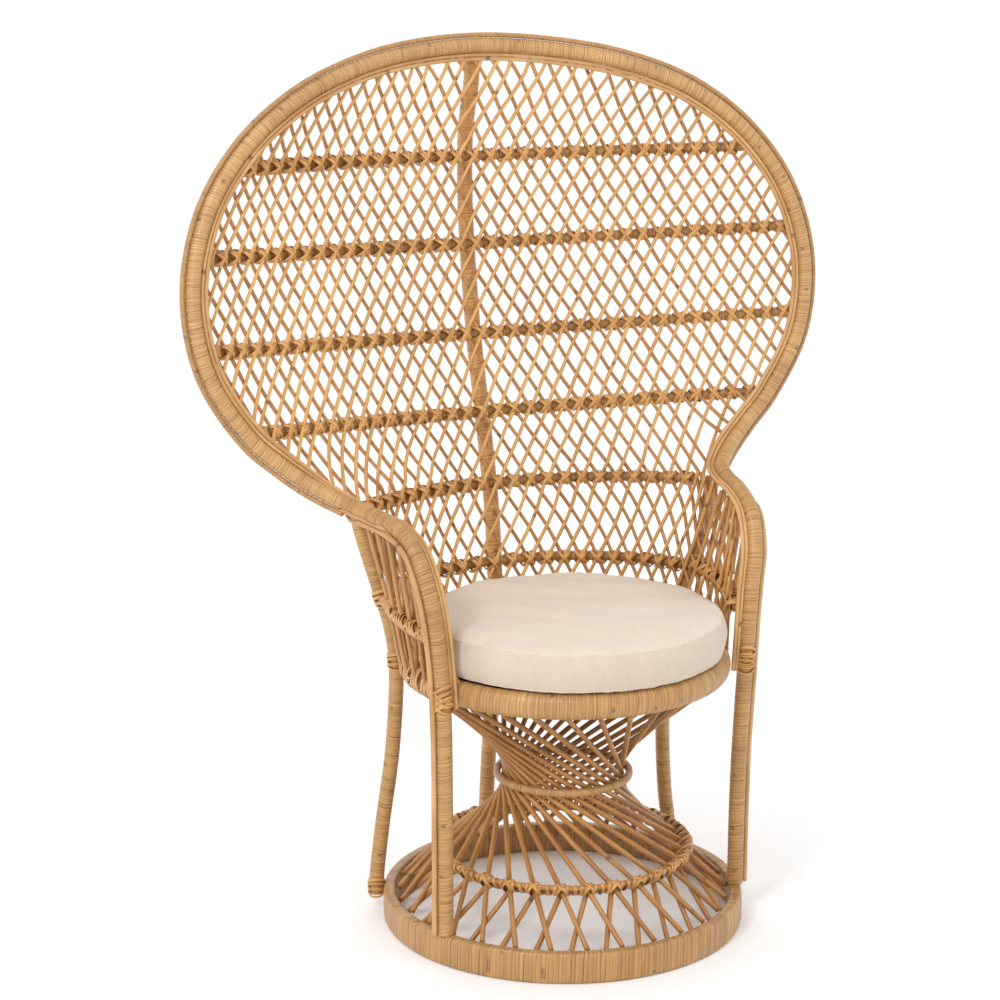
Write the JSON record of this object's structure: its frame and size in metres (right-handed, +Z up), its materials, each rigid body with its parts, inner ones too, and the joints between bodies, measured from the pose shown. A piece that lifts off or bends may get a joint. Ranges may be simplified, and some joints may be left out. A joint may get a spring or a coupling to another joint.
{
  "type": "peacock chair",
  "caption": "High-backed wicker chair with a round balloon back, an hourglass base on a floor ring, arms that run down into the front legs, and a loose round cushion.",
  "frame": {"origin": "middle of the chair's width and depth, on the floor", "axes": "+Z up, +X to the sitter's left when seated facing -Y, -Y to the front"},
  "size_m": [1.1992, 0.7388, 1.4979],
  "materials": {
    "wrapped_cane": "poles wound with glossy rattan peel",
    "plain_reed": "satin peeled reed",
    "seat_panel": "matte",
    "canvas": "plain woven canvas",
    "foam": "open foam",
    "zip": "matte"
  },
  "bodies": {
    "frame": {"arm_edging_reed_left": "plain_reed", "arm_edging_reed_right": "plain_reed", "arm_pole_left": "wrapped_cane", "arm_pole_right": "wrapped_cane", "back_lattice_left": "plain_reed", "back_lattice_right": "plain_reed", "base_hoop": "wrapped_cane", "crossbar_1": "wrapped_cane", "crossbar_2": "wrapped_cane", "crossbar_3": "wrapped_cane", "crossbar_4": "wrapped_cane", "crossbar_5": "wrapped_cane", "hourglass_reeds": "plain_reed", "inner_reed_inner": "plain_reed", "inner_reed_outer": "plain_reed", "lower_back_bar": "wrapped_cane", "lower_back_lattice": "plain_reed", "lower_spindle_left_1": "plain_reed", "lower_spindle_left_2": "plain_reed", "lower_spindle_left_3": "plain_reed", "lower_spindle_left_4": "plain_reed", "lower_spindle_right_1": "plain_reed", "lower_spindle_right_2": "plain_reed", "lower_spindle_right_3": "plain_reed", "lower_spindle_right_4": "plain_reed", "mid_hoop": "plain_reed", "rear_leg_left": "wrapped_cane", "rear_leg_right": "wrapped_cane", "rim_edging_reed": "plain_reed", "rim_pole": "wrapped_cane", "seat_deck": "seat_panel", "seat_hoop": "wrapped_cane", "seat_rail": "plain_reed", "side_bar_left": "wrapped_cane", "side_bar_right": "wrapped_cane", "side_lattice_left": "plain_reed", "side_lattice_right": "plain_reed", "skirt_reeds": "plain_reed", "spine": "wrapped_cane", "upper_spindle_left_1": "plain_reed", "upper_spindle_left_2": "plain_reed", "upper_spindle_left_3": "plain_reed", "upper_spindle_left_4": "plain_reed", "upper_spindle_left_5": "plain_reed", "upper_spindle_right_1": "plain_reed", "upper_spindle_right_2": "plain_reed", "upper_spindle_right_3": "plain_reed", "upper_spindle_right_4": "plain_reed", "upper_spindle_right_5": "plain_reed", "waist_ring": "wrapped_cane"},
    "cushion": {"cushion_cover": "canvas", "cushion_foam": "foam", "cushion_zip": "zip"}
  },
  "joints": [
    {"name": "cushion_lift", "type": "slide", "parent": "frame", "child": "cushion", "axis": [0, 0, 1], "range_m": [0, 0.3]}
  ]
}
